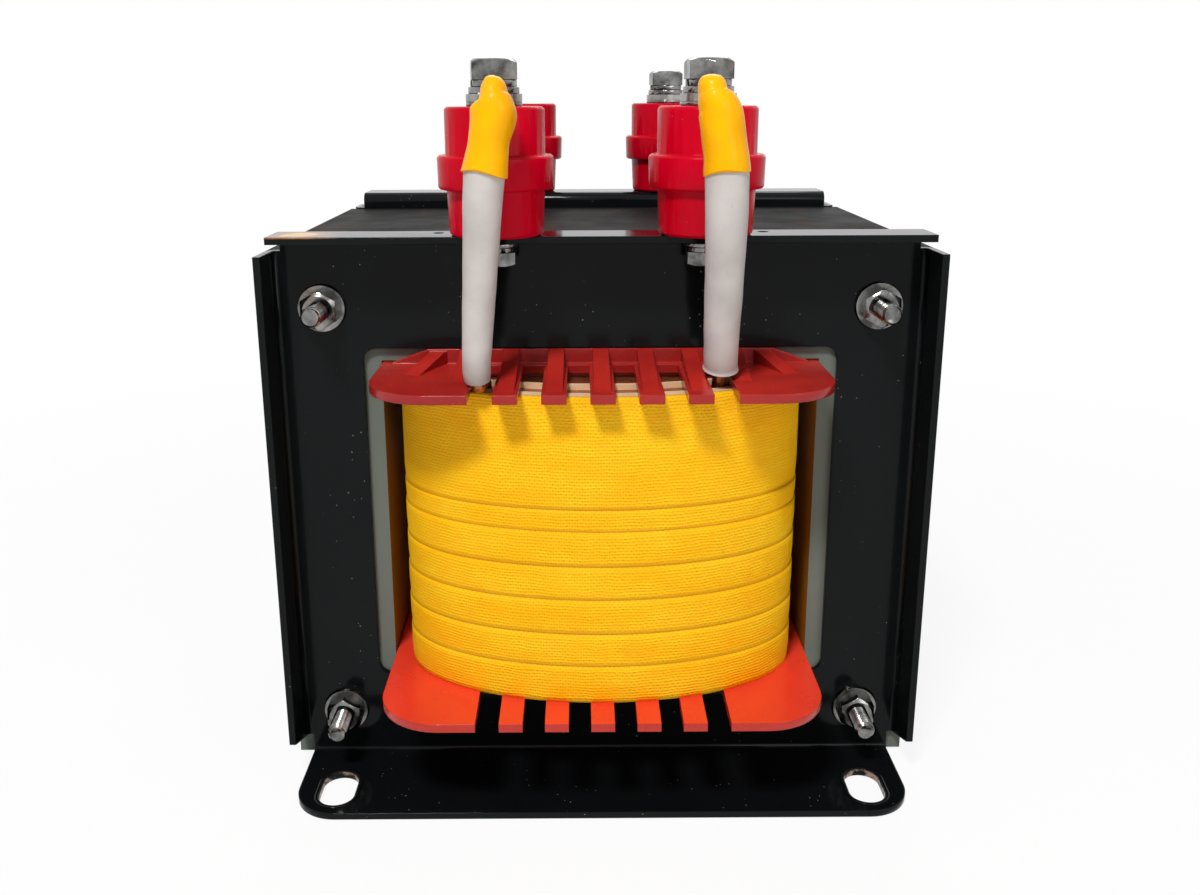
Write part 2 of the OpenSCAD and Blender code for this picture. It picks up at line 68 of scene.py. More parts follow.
class Nodes:
    """Builds a node tree. A value may be a number, a colour or another node's output."""

    def __init__(self, tree):
        self.tree = tree

    def node(self, kind, **props):
        made = self.tree.nodes.new(kind)
        for key, value in props.items():
            setattr(made, key, value)
        return made

    def feed(self, target, value):
        if isinstance(value, bpy.types.NodeSocket):
            self.tree.links.new(value, target)
        elif isinstance(value, tuple) and len(value) == 3 and target.type == "RGBA":
            target.default_value = (*value, 1)
        else:
            target.default_value = value

    def maths(self, kind, a, b=0.0, clamp=False):
        made = self.node("ShaderNodeMath", operation=kind, use_clamp=clamp)
        self.feed(made.inputs[0], a)
        self.feed(made.inputs[1], b)
        return made.outputs[0]

    def plus(self, a, b):
        return self.maths("ADD", a, b)

    def minus(self, a, b):
        return self.maths("SUBTRACT", a, b)

    def times(self, a, b):
        return self.maths("MULTIPLY", a, b)

    def below(self, a, limit):
        return self.maths("LESS_THAN", a, limit)

    def above(self, a, limit):
        return self.maths("GREATER_THAN", a, limit)

    def size(self, a):
        return self.maths("ABSOLUTE", a)

    def length(self, a, b):
        return self.maths("SQRT", self.plus(self.times(a, a), self.times(b, b)))

    def seen(self):
        """1 for rays that the camera sees straight, in a reflection or through a clear part, else 0."""
        path = self.node("ShaderNodeLightPath")
        straight = self.plus(path.outputs["Is Camera Ray"], path.outputs["Is Glossy Ray"])
        return self.maths("ADD", straight, path.outputs["Is Transmission Ray"], True)


class Material(Nodes):
    """A Principled material. Coordinates are the frame's, in metres."""

    def __init__(self, name, **sockets):
        self.mat = bpy.data.materials.new(name)
        self.mat.use_nodes = True
        super().__init__(self.mat.node_tree)
        self.shader = self.tree.nodes["Principled BSDF"]
        self.place = self.node("ShaderNodeTexCoord").outputs["Object"]
        for key, value in sockets.items():
            self.shader.inputs[key.replace("_", " ")].default_value = value

    def to(self, name, value):
        self.feed(self.shader.inputs[name], value)

    def axes(self, source=None):
        made = self.node("ShaderNodeSeparateXYZ")
        self.feed(made.inputs[0], source or self.place)
        return made.outputs

    def facing(self):
        return self.axes(self.node("ShaderNodeNewGeometry").outputs["Normal"])

    def stretched(self, x, y, z):
        made = self.node("ShaderNodeVectorMath", operation="MULTIPLY")
        self.feed(made.inputs[0], self.place)
        made.inputs[1].default_value = (x, y, z)
        return made.outputs[0]

    def noise(self, scale, detail=2.0, rough=0.5, where=None, distortion=0.0):
        made = self.node("ShaderNodeTexNoise")
        self.feed(made.inputs["Vector"], where or self.place)
        made.inputs["Scale"].default_value = scale
        made.inputs["Detail"].default_value = detail
        made.inputs["Roughness"].default_value = rough
        made.inputs["Distortion"].default_value = distortion
        return made.outputs["Fac"]

    def specks(self, scale, share, patches, low, high):
        """Small round specks, gathered in the patches of a wider noise."""
        made = self.node("ShaderNodeTexVoronoi")
        self.feed(made.inputs["Vector"], self.place)
        made.inputs["Scale"].default_value = scale
        dots = self.below(made.outputs["Distance"], share)
        return self.times(dots, self.span(self.noise(patches, 2), low, high))

    def span(self, value, low, high, out_low=0.0, out_high=1.0):
        made = self.node("ShaderNodeMapRange", clamp=True)
        for k, v in enumerate((value, low, high, out_low, out_high)):
            self.feed(made.inputs[k], v)
        return made.outputs[0]

    def mix(self, share, a, b):
        made = self.node("ShaderNodeMix", data_type="RGBA")
        colours = [s for s in made.inputs if s.type == "RGBA"]
        self.feed(made.inputs[0], share)
        self.feed(colours[0], a)
        self.feed(colours[1], b)
        return [s for s in made.outputs if s.type == "RGBA"][0]

    def bump(self, height, distance, strength=1.0, after=None):
        made = self.node("ShaderNodeBump")
        self.feed(made.inputs["Height"], height)
        made.inputs["Distance"].default_value = distance
        made.inputs["Strength"].default_value = strength
        if after is not None:
            self.feed(made.inputs["Normal"], after)
        self.to("Normal", made.outputs[0])
        return made.outputs[0]

    def rounded(self, radius):
        """A normal that rounds sharp edges by a radius in millimetres."""
        made = self.node("ShaderNodeBevel", samples=6)
        made.inputs["Radius"].default_value = radius * MM
        return made.outputs[0]

    def gloss(self, scale, low, high):
        """Roughness that wanders between two values."""
        self.to("Roughness", self.span(self.noise(scale, 3), 0.3, 0.7, low, high))


# ---------- materials ----------

SMEAR_AT = (-83.0, -75.5)  # middle of the smear of primer on the front flange
SMEAR_HALF = (4.8, 5.6)
UPPER_FLANGE = 166.1  # above this height lies only the top of the bracket's flange
FOOT_TOP = 4.5
WINDOW_SIDE = 66  # the core's outer walls lie further out than this
LAMINATION = 0.5
WEFT, WARP = 0.92, 0.74  # spacing of the tape's threads


def slot_distance(m):
    """Distance in metres from the wall of the nearest mounting slot, below 0 inside the slot."""
    x, y, _ = m.axes()
    across = m.minus(m.size(x), SLOT_X * MM)
    along = m.size(m.minus(m.size(y), SLOT_Y * MM))
    past_straight = m.maths("MAXIMUM", m.minus(along, SLOT_HALF * MM), 0.0)
    return m.minus(m.length(across, past_straight), SLOT_R * MM)


def enamel():
    m = Material("black_enamel", Specular_IOR_Level=0.12)
    x, y, z = m.axes()
    colour = m.mix(m.noise(30, 3), (0.0022, 0.0030, 0.0034), (0.0050, 0.0058, 0.0062))
    # Tiny pale specks of dust in the paint, few and uneven
    dust = m.specks(420, 0.075, 60, 0.50, 0.62)
    colour = m.mix(m.times(dust, 0.55), colour, (0.42, 0.40, 0.36))
    # A smear of gold primer and brown varnish on top of the front flange, near its left end
    ripple = m.times(m.minus(m.noise(120, 3), 0.5), 0.018)
    offsets = [
        m.times(m.plus(m.minus(axis, middle * MM), ripple), 1 / (half * MM))
        for axis, middle, half in zip((x, y), SMEAR_AT, SMEAR_HALF)
    ]
    far = m.length(*offsets)
    upper = m.above(z, UPPER_FLANGE * MM)
    colour = m.mix(m.times(m.span(far, 2.6, 1.5), m.times(upper, 0.85)), colour, (0.30, 0.13, 0.05))
    colour = m.mix(m.times(m.span(far, 1.0, 0.75), upper), colour, (0.72, 0.40, 0.07))
    # Bare steel where bolts have rubbed the walls of the slots
    worn = m.times(m.span(slot_distance(m), 0.00012, 0.0), m.span(m.noise(330, 3), 0.46, 0.56))
    worn = m.times(worn, m.below(z, FOOT_TOP * MM))
    colour = m.mix(worn, colour, (0.30, 0.20, 0.16))
    m.to("Base Color", colour)
    m.to("Metallic", m.times(worn, 0.7))
    m.gloss(45, 0.07, 0.16)
    skin = m.bump(m.noise(230, 2), 0.00006, 0.3, m.rounded(0.5))
    m.bump(dust, 0.0001, 0.6, skin)
    return m.mat


def lamination():
    """Bare grey faces and dark varnished edges of the sheets, browner on the walls of the windows. The edges'
    near-black is partly painted reflection of the black bracket, and the walls' amber is a painted reflection
    of the tape.
    """
    m = Material("lamination_steel", Specular_IOR_Level=0.02)
    x, y, _ = m.axes()
    facing = m.facing()
    flat_face = m.above(m.size(facing[1]), 0.8)
    window_wall_painted_reflection = m.times(m.above(m.size(facing[0]), 0.8), m.below(m.size(x), WINDOW_SIDE * MM))
    # Each sheet has its own tone along the stack
    sheet_line = m.maths("SINE", m.times(y, 2 * math.pi / (LAMINATION * MM)))
    uneven = m.noise(1.0, 2, 0.6, m.stretched(30, 2000, 30))
    grey = m.mix(m.noise(25, 3), (0.115, 0.130, 0.112), (0.155, 0.172, 0.148))
    # Painted reflection, in part: the edges are near-black to stand for the black bracket reflected in the
    # core's top
    edge = m.mix(uneven, (0.004, 0.0045, 0.0045), (0.020, 0.0195, 0.0185))
    varnish = m.span(m.noise(38, 5, 0.65, m.stretched(1, 0.35, 1), 0.6), 0.52, 0.70)
    edge = m.mix(m.times(varnish, 0.45), edge, (0.075, 0.034, 0.014))
    # Painted reflection: the walls of the windows take an amber tone standing for the yellow tape reflected in
    # them
    edge = m.mix(m.times(window_wall_painted_reflection, 0.85), edge, (0.30, 0.14, 0.016))
    m.to("Base Color", m.mix(flat_face, edge, grey))
    m.gloss(60, 0.45, 0.62)
    cut = m.times(m.plus(sheet_line, m.times(uneven, 1.5)), m.minus(1.0, flat_face))
    m.bump(cut, 0.00003, 0.35)
    return m.mat


def moulded(name, dark, light, rough, grain, mottle, spec, low=None, painted_shade_upright=None):
    """Moulded plastic: slow change of tone, fine grain and a soft waviness in the gloss."""
    m = Material(name, Specular_IOR_Level=spec)
    tone = m.noise(mottle, 3)
    colour = m.mix(m.span(tone, 0.35, 0.65), dark, light)
    if low:
        # Painted light and shade: the lower flange is painted paler than the upper one, as if lit, and upright
        # sides are painted deeper in tone than flat faces, as if shaded
        height = m.plus(m.axes()[2], m.times(m.minus(tone, 0.5), 0.02))
        colour = m.mix(m.span(height, 0.05, 0.03), colour, low)
        sides = m.span(m.size(m.facing()[2]), 0.6, 0.3)
        colour = m.mix(m.times(sides, 0.55), colour, painted_shade_upright)
    colour = m.mix(m.times(m.specks(500, 0.06, 80, 0.55, 0.65), 0.5), colour, (0.8, 0.55, 0.5))
    m.to("Base Color", colour)
    m.gloss(90, rough - 0.06, rough + 0.08)
    base = m.bump(m.noise(140, 2), 0.0002, 0.25, m.rounded(0.4))
    m.bump(m.noise(grain, 2), 0.00004, 0.4, base)
    return m.mat


def cloth_tape():
    """Woven tape. Its mesh carries arc, the way round the coil in metres, and a mark that is 1 at the edge of a
    turn, where a dark line of painted shadow is laid.
    """
    m = Material("coil_tape", Specular_IOR_Level=0.12)
    arc = m.node("ShaderNodeAttribute", attribute_name="arc").outputs["Fac"]
    lap = m.node("ShaderNodeAttribute", attribute_name="lap").outputs["Fac"]
    sway = m.times(m.minus(m.noise(160, 2), 0.5), 0.0012)
    rows = m.times(m.plus(m.axes()[2], sway), 2 * math.pi / (WEFT * MM))
    columns = m.times(m.plus(arc, sway), 2 * math.pi / (WARP * MM))
    # Plain weave: the two threads take turns on top
    over = m.times(m.maths("SINE", m.times(rows, 0.5)), m.maths("SINE", m.times(columns, 0.5)))
    ridge = m.plus(m.maths("COSINE", rows), m.times(m.maths("COSINE", columns), 0.35))
    worn = m.noise(260, 3)
    weave = m.span(m.plus(ridge, m.times(over, 0.7)), -2.0, 2.0)
    weave = m.times(weave, m.span(worn, 0.25, 0.7, 0.45, 1.0))
    tone = m.span(m.noise(40, 4, 0.6, m.stretched(1, 1, 3)), 0.3, 0.7)
    colour = m.mix(tone, (0.98, 0.53, 0.002), (1.0, 0.70, 0.018))
    # Painted shade: the hollows of the weave are deepened to a darker orange
    colour = m.mix(m.times(m.minus(1.0, weave), 0.75), colour, (0.86, 0.33, 0.0))
    colour = m.mix(m.times(m.specks(230, 0.06, 50, 0.58, 0.66), 0.7), colour, (0.25, 0.09, 0.01))
    # Painted shadow: a dark line along the edge of each turn, where the ledge would cast its shade
    colour = m.mix(m.times(lap, 0.75), colour, (0.36, 0.13, 0.002))
    m.to("Base Color", colour)
    m.to("Roughness", m.span(worn, 0.3, 0.7, 0.55, 0.75))
    m.bump(weave, 0.0003, 1.0, m.bump(m.noise(60, 3), 0.0004, 0.2))
    return m.mat


def soft_sleeve(name, dark, light, rough, stain):
    """Soft sleeving and boots: a wavy skin with faint smears along it."""
    m = Material(name, Specular_IOR_Level=0.13)
    colour = m.mix(m.span(m.noise(55, 4), 0.35, 0.65), dark, light)
    marks = m.span(m.noise(1.0, 3, 0.6, m.stretched(500, 500, 160)), 0.66, 0.72)
    m.to("Base Color", m.mix(m.times(marks, 0.4), colour, stain))
    m.gloss(70, rough - 0.08, rough + 0.08)
    m.bump(m.noise(420, 3), 0.00008, 0.35, m.bump(m.noise(90, 2), 0.0006, 0.35))
    return m.mat


def plated(name, dark, light, low, high):
    """Plated steel with fine turning marks, faint stains and a few scratches."""
    m = Material(name, Metallic=1.0)
    colour = m.mix(m.span(m.noise(160, 4, 0.6), 0.35, 0.65), dark, light)
    stain = m.span(m.noise(75, 3), 0.60, 0.72)
    m.to("Base Color", m.mix(m.times(stain, 0.35), colour, (0.22, 0.14, 0.08)))
    m.gloss(240, low, high)
    scratch = m.noise(1.0, 3, 0.7, m.stretched(2600, 2600, 500))
    m.bump(scratch, 0.00003, 0.35, m.bump(m.noise(500, 2), 0.00005, 0.35))
    return m.mat


def plain(name, dark, light, rough, scale, fibres=(1, 1, 1), metallic=0.0):
    """Copper, paper, brass and fibre: two tones in a grain that can be drawn out along z."""
    m = Material(name, Metallic=metallic)
    m.to("Base Color", m.mix(m.noise(scale, 4, 0.6, m.stretched(*fibres)), dark, light))
    m.gloss(scale * 1.7, rough - 0.1, rough + 0.1)
    m.bump(m.noise(scale * 3, 3, 0.6, m.stretched(*fibres)), 0.00012, 0.4)
    return m.mat


ENAMEL = enamel()
ZINC = plated("zinc_plating", (0.06, 0.06, 0.058), (0.30, 0.30, 0.29), 0.10, 0.24)
YELLOW = soft_sleeve("boot_yellow", (0.88, 0.36, 0.0), (0.95, 0.45, 0.0), 0.32, (0.78, 0.32, 0.0))
GREY = soft_sleeve("sleeve_grey", (0.41, 0.375, 0.35), (0.57, 0.525, 0.495), 0.46, (0.38, 0.34, 0.31))
TAPE = cloth_tape()
LOOKS = {
    "black_paint": ENAMEL,
    "lamination_steel": lamination(),
    # The bobbin's last two colours are painted light for its lower flange and painted shade for its upright
    # faces
    "bobbin_red": moulded(
        "bobbin_red", (0.40, 0.016, 0.013), (0.52, 0.026, 0.016), 0.22, 1400, 45, 0.34,
        low=(0.86, 0.055, 0.022), painted_shade_upright=(0.20, 0.006, 0.008),
    ),
    "insulator_red": moulded("insulator_red", (0.49, 0.0, 0.010), (0.60, 0.0, 0.018), 0.22, 1100, 30, 0.07),
    "copper_wire": plain("copper_wire", (0.30, 0.09, 0.03), (0.52, 0.20, 0.08), 0.35, 300, (1, 1, 4), 0.8),
    "insulation_paper": plain("insulation_paper", (0.66, 0.40, 0.20), (0.84, 0.66, 0.42), 0.6, 120, (1, 1, 5)),
    "coil_tape": TAPE,
    "zinc_steel": ZINC,
    "tinned_lug": plated("tin_plating", (0.18, 0.178, 0.17), (0.40, 0.395, 0.38), 0.20, 0.34),
    "brass": plain("insert_brass", (0.50, 0.33, 0.10), (0.66, 0.46, 0.17), 0.3, 200, metallic=1.0),
    "hard_fibre": plain("hard_fibre", (0.13, 0.06, 0.03), (0.22, 0.11, 0.05), 0.6, 150),
    "boot_yellow": YELLOW,
    "sleeve_grey": GREY,
}


# ---------- CAD nodes: materials and softened edges ----------

# Width of the softened edges, in millimetres
EDGES = {
    "front_bracket": 0.4, "rear_bracket": 0.4, "bobbin": 0.45, "terminal_bolts": 0.22, "clamp_flange_nuts": 0.2,
    "base_bolts": 0.2, "terminal_washers": 0.25, "terminal_seat_washers": 0.2, "terminal_spring_washers": 0.25,
    "base_washers": 0.2, "base_spring_washers": 0.2,
}
INSULATOR_EDGE = 0.22


def soften(obj, width):
    """Rounds the sharp edges of a CAD node by modifiers alone, so its own mesh stays as packed."""
    weld = obj.modifiers.new("weld", "WELD")
    weld.merge_threshold = 0.000002
    flat = obj.modifiers.new("flat", "DECIMATE")
    flat.decimate_type = "DISSOLVE"
    flat.angle_limit = math.radians(0.5)
    bevel = obj.modifiers.new("bevel", "BEVEL")
    bevel.width = width * MM
    bevel.segments = 2
    bevel.limit_method = "ANGLE"
    bevel.angle_limit = math.radians(33)
    bevel.use_clamp_overlap = True
    bevel.harden_normals = True
    bevel.miter_outer = "MITER_ARC"


for row in frame["record"]["subparts"]:
    node = NODES[row["node"]]
    for own in node.material_slots:
        own.material = LOOKS[row["material_slot"]]
    width = INSULATOR_EDGE if row["node"].startswith("insulator") else EDGES.get(row["node"])
    if width:
        soften(node, width)


# ---------- building pieces ----------


def piece(name, verts, faces, material, replaced=(), attributes=None):
    """A smooth piece from points in millimetres, with numbers for each point where the material reads them."""
    mesh = bpy.data.meshes.new(name)
    mesh.from_pydata([Vector(v) * MM for v in verts], [], faces)
    mesh.validate()
    mesh.materials.append(material)
    mesh.polygons.foreach_set("use_smooth", [True] * len(mesh.polygons))
    for key, values in (attributes or {}).items():
        mesh.attributes.new(key, "FLOAT", "POINT").data.foreach_set("value", values)
    obj = bpy.data.objects.new(name, mesh)
    bpy.context.scene.collection.objects.link(obj)
    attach(obj, "root")
    if replaced:
        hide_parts(*replaced)
    return obj


def grid_faces(rows, columns, wrap_rows=False):
    """Quads of a sheet of rows that is closed around its columns."""
    faces = []
    for i in range(rows if wrap_rows else rows - 1):
        for j in range(columns):
            a, b = i * columns, (i + 1) % rows * columns
            k = (j + 1) % columns
            faces.append((a + j, a + k, b + k, b + j))
    return faces


def capped_faces(rows, columns, outward):
    """The same sheet with a face over its first and its last row. outward turns both faces over."""
    first = tuple(range(columns))
    last = tuple(range((rows - 1) * columns, rows * columns))
    caps = [first[::-1], last] if outward else [first, last[::-1]]
    return grid_faces(rows, columns) + caps


# ---------- coil tape ----------

COIL_Z0, COIL_Z1 = 35.4, 125.6
LAPS = (0, 0.125, 0.235, 0.35, 0.46, 0.575, 0.645, 1)  # edges of the turns, as shares of the coil's height
LAP_STEP = 0.315  # how far a turn's top edge lies under the turn above it
LAP_RUN = 5.0  # height over which a turn comes out again
LAP_GAP = 0.995  # share of its height at which a turn ends
ROW_HEIGHT = 1.6
TAPE_INSET = 0.12  # keeps the ripples inside the solid that the wrap replaces
ARC_STEPS = 72


def coil_ring(inset):
    """Points round the coil: half an ellipse at each end and straight sides between them."""
    points = []
    wide, deep = COIL_X - inset, COIL_OVERHANG - inset
    for end in (-1, 1):
        for k in range(ARC_STEPS + 1):
            a = math.radians((180 if end < 0 else 0) + 180 * k / ARC_STEPS)
            points.append(Vector((wide * math.cos(a), end * HALF + deep * math.sin(a), 0)))
    return points


def tape_rows():
    """Height, depth below the proudest surface and edge mark of each row of the wrap."""
    made = []
    for k, (low, high) in enumerate(zip(LAPS, LAPS[1:])):
        z0 = COIL_Z0 + (COIL_Z1 - COIL_Z0) * low
        z1 = COIL_Z0 + (COIL_Z1 - COIL_Z0) * high
        steps = max(6, round((z1 - z0) / ROW_HEIGHT))
        reach = LAP_GAP if high < 1 else 1
        # A sharp ledge where one turn ends and the next begins
        for s in range(steps + 1):
            t = s / steps
            level = LAP_STEP * max(0.0, 1 - t * (z1 - z0) / LAP_RUN)
            made.append((z0 + (z1 - z0) * reach * t, level, 1.0 if s == 0 and k > 0 else 0.0))
    return made


def tape():
    rows = tape_rows()
    outer = coil_ring(0)
    columns = len(outer)
    lengths = [0.0]
    for a, b in zip(outer, outer[1:]):
        lengths.append(lengths[-1] + (b - a).length)
    normals = [
        (outer[(j + 1) % columns] - outer[j - 1]).cross(Vector((0, 0, 1))).normalized()
        for j in range(columns)
    ]
    verts = []
    for z, level, mark in rows:
        for p, normal in zip(outer, normals):
            # Slow waves, a fine ripple, and edges that wander up and down
            wave = 0.08 * abs(noise.noise(Vector((p.x / 14, p.y / 14, z / 5))))
            ripple = 0.05 * noise.noise(Vector((p.x / 4, p.y / 4, z / 2.2 + 9)))
            sag = 0.2 * noise.noise(Vector((p.x / 30, p.y / 30, 4))) * mark
            q = p - normal * (level + TAPE_INSET + wave - ripple)
            verts.append((q.x, q.y, min(COIL_Z1, z + sag)))
    # The inner wall comes back down, and the sheet closes on its first row
    for z in (COIL_Z1, COIL_Z0):
        verts += [(p.x, p.y, z) for p in coil_ring(TAPE_T)]
    marks = [mark for _, _, mark in rows] + [0.0, 0.0]
    piece("coil_tape_wrap", verts, grid_faces(len(marks), columns, True), TAPE, ("coil_tape",), {
        "arc": [length * MM for _ in marks for length in lengths],
        "lap": [mark for mark in marks for _ in range(columns)],
    })


tape()


# ---------- clamp bolts with real threads ----------

THREAD_PITCH = 1.0
THREAD_DEPTH = 0.5
THREAD_CREST, THREAD_FLANK = 0.12, 0.76  # as shares of half a pitch
RINGS_PER_PITCH = 8
TIP_INSET, TIP_SLOPE = 0.75, 0.9
ROD_COLUMNS, HEAD_COLUMNS = 40, 72
CROWN_R = NUT_AF / 2 - 0.6
CROWN_SLOPE = 0.45


def hex_radius(angle):
    folded = (angle + math.pi / 6) % (math.pi / 3) - math.pi / 6
    return NUT_AF / 2 / math.cos(folded)


def ring(radius, height):
    return lambda angle: (radius, height)


def lathe(rings, columns, place):
    """A closed form from rings, which give radius and height for an angle. place maps a local point."""
    verts = []
    for profile in rings:
        for j in range(columns):
            a = 2 * math.pi * j / columns
            r, h = profile(a)
            verts.append(place(r * math.cos(a), r * math.sin(a), h))
    return verts, capped_faces(len(rings), columns, True)


def threaded_rod(root, start, end):
    """Rings of a rod whose thread runs from start to a chamfered tip at end."""

    def threaded(z):
        def profile(a):
            phase = (z / THREAD_PITCH - a / (2 * math.pi)) % 1
            groove = min(1.0, max(0.0, (abs(phase - 0.5) * 2 - THREAD_CREST) / THREAD_FLANK))
            chamfer = CLAMP_R - TIP_INSET + (end - z) * TIP_SLOPE
            return min(CLAMP_R - THREAD_DEPTH * groove, chamfer), z

        return profile

    count = round((end - start) / (THREAD_PITCH / RINGS_PER_PITCH))
    rings = [ring(CLAMP_R - 0.35, root)]
    rings += [threaded(start + (end - start) * i / count) for i in range(count + 1)]
    return rings + [ring(CLAMP_R - 1.1, end - 0.02), ring(CLAMP_R - 1.3, end - 0.12), ring(0.3, end - 0.15)]


def flanged_head(seat):
    """Rings of a hex head on a round flange, with a dished crown."""
    top = seat + NUT_H
    return [
        ring(NUT_FLANGE_R - 0.25, seat),
        ring(NUT_FLANGE_R, seat + 0.3),
        ring(NUT_FLANGE_R - 0.1, seat + 0.9),
        ring(NUT_FLANGE_R - 0.7, seat + 1.4),
        lambda a: (hex_radius(a) + 0.25, seat + 1.7),
        lambda a: (hex_radius(a), seat + 2.1),
        lambda a: (hex_radius(a), top - (hex_radius(a) - CROWN_R) * CROWN_SLOPE),
        ring(CROWN_R, top),
        ring(CROWN_R - 1.0, top - 0.05),
        ring(CROWN_R - 1.6, top - 0.4),
        ring(0.3, top - 0.4),
    ]


def clamp_bolts():
    """Rods with their threaded ends at the front and their heads at the rear."""
    seat = HALF + SHEET
    rod = threaded_rod(-HALF + 1, seat + NUT_H - 2, seat + CLAMP_OUT)
    head = flanged_head(seat)
    verts, faces = [], []
    for x in (-HOLE_X, HOLE_X):
        for z in HOLE_ZS:
            for rings, columns, way in ((rod, ROD_COLUMNS, 1), (head, HEAD_COLUMNS, -1)):
                made, quads = lathe(rings, columns, lambda a, b, c: (x + way * a, -way * c, z + b))
                faces += [tuple(i + len(verts) for i in face) for face in quads]
                verts += made
    obj = piece("clamp_bolts_threaded", verts, faces, ZINC, ("clamp_bolts",))
    obj.modifiers.new("split", "EDGE_SPLIT").split_angle = math.radians(38)


clamp_bolts()


# ---------- leads: boots and sleeves ----------

# Height, sideways, outwards from the core, half width and half depth, from the top down, for the left and
# the right terminal at the front. The rear ones are the same turned over.
BOOT_ROWS = {
    -1: [(208.1, 27.2, 34.4, 0.6, 0.6), (207.5, 27.2, 34.4, 2.0, 2.2), (205.8, 27.0, 34.5, 3.1, 3.8),
         (203.6, 26.9, 34.7, 3.5, 4.8), (201.8, 26.7, 35.0, 4.6, 5.4), (199.6, 26.9, 35.3, 5.8, 5.6),
         (196.6, 27.5, 35.4, 5.6, 5.5), (192.6, 28.3, 35.4, 5.2, 5.5), (188.6, 29.0, 35.4, 5.4, 5.7),
         (185.6, 29.5, 35.4, 5.8, 5.9), (184.0, 29.8, 35.4, 6.0, 6.0)],
    1: [(208.2, 26.9, 34.4, 0.6, 0.6), (207.7, 26.9, 34.4, 2.3, 2.3), (206.2, 26.9, 34.5, 3.3, 3.8),
        (203.9, 27.2, 34.6, 3.7, 4.7), (202.2, 27.7, 35.0, 4.5, 5.3), (199.9, 28.8, 35.3, 5.4, 5.6),
        (196.4, 29.5, 35.4, 5.6, 5.6), (191.9, 30.1, 35.4, 5.6, 5.7), (187.9, 30.8, 35.4, 5.7, 5.8),
        (185.4, 31.0, 35.4, 6.0, 5.9), (184.0, 31.1, 35.4, 6.1, 6.0)],
}
SLEEVE_ROWS = {
    -1: [(187.0, 29.3, 35.4, 5.2, 5.1), (184.0, 29.8, 35.4, 5.3, 5.1), (174.0, 30.6, 35.0, 5.0, 4.8),
         (162.0, 31.4, 34.0, 4.6, 4.5), (150.0, 32.3, 33.0, 4.3, 4.2), (140.0, 33.0, 32.0, 4.0, 3.9),
         (133.0, 33.4, 31.0, 3.8, 3.7), (129.8, 33.3, 30.2, 3.5, 3.4)],
    1: [(187.0, 30.8, 35.4, 5.3, 5.1), (184.0, 31.1, 35.4, 5.6, 5.2), (174.0, 31.4, 34.5, 5.5, 5.2),
        (162.0, 31.6, 32.0, 5.2, 5.0), (150.0, 31.8, 29.0, 5.0, 4.8), (141.0, 32.0, 26.0, 4.8, 4.7),
        (135.0, 32.2, 24.0, 4.7, 4.6), (132.2, 32.4, 22.9, 4.6, 4.5), (131.0, 32.4, 22.5, 5.0, 4.8)],
}
TERMINALS = (("front_left", -1, -1), ("front_right", 1, -1), ("rear_right", 1, 1))  # the rear left post is free
WALL = 0.7
MOUTH_SHARE = 0.38  # share of the rings over which a mouth takes its form
# Material, slot, columns, rings of the lining and depth of the dents
SOFT = {
    "boot": (YELLOW, "boot_yellow", 32, 9, 0.32),
    "sleeve": (GREY, "sleeve_grey", 28, 12, 0.14),
}


def smooth_path(points, steps):
    """Catmull-Rom through rows of numbers, so that the half widths are smoothed with the places."""
    made = []
    for i in range(len(points) - 1):
        near = [points[max(0, min(len(points) - 1, i + k))] for k in (-1, 0, 1, 2)]
        for s in range(steps):
            t = s / steps
            made.append([
                0.5 * (
                    2 * b + (c - a) * t + (2 * a - 5 * b + 4 * c - d) * t * t + (3 * b - a - 3 * c + d) * t ** 3
                )
                for a, b, c, d in zip(*near)
            ])
    made.append(list(points[-1]))
    return made


def tube(rows, columns, mouth=None, dent=0.0, seed=0.0):
    """Rings about a path of x, y, z, half width and half depth. mouth draws back the last rings by angle."""
    verts = []
    total = len(rows)
    for i, (x, y, z, w, d) in enumerate(rows):
        here = Vector((x, y, z))
        a, b = Vector(rows[max(i - 1, 0)][:3]), Vector(rows[min(i + 1, total - 1)][:3])
        along = (b - a).normalized()
        side = along.cross(Vector((0, 1, 0))).normalized()
        if side.x < 0:
            side = -side
        front = along.cross(side).normalized()
        if front.y > 0:
            front = -front
        for j in range(columns):
            t = 2 * math.pi * j / columns
            p = here + side * (w * math.cos(t)) + front * (d * math.sin(t))
            if dent:
                n = noise.noise(Vector((p.x / 6 + seed, p.y / 6, p.z / 5)))
                p += (p - here).normalized() * n * dent
            if mouth:
                p -= along * mouth(t) * max(0.0, (i - total * (1 - MOUTH_SHARE)) / (total * MOUTH_SHARE))
            verts.append(tuple(p))
    return verts


def cover(kind, terminal, rows, seed, mouth=None):
    """A soft tube closed at its first ring, whose wall turns inside at the last one and ends in a floor."""
    material, slot, columns, lining, dent = SOFT[kind]
    outer = tube(rows, columns, mouth, dent, seed)
    inside = tube([(x, y, z, w - WALL, d - WALL) for x, y, z, w, d in rows[-lining:]], columns, mouth)
    turned = [v for i in reversed(range(lining)) for v in inside[i * columns:(i + 1) * columns]]
    made = piece(
        f"{kind}_{terminal}_soft", outer + turned, capped_faces(len(rows) + lining, columns, False),
        material, (f"{kind}_{terminal}",),
    )
    made.modifiers.new("smooth", "SUBSURF").levels = 1


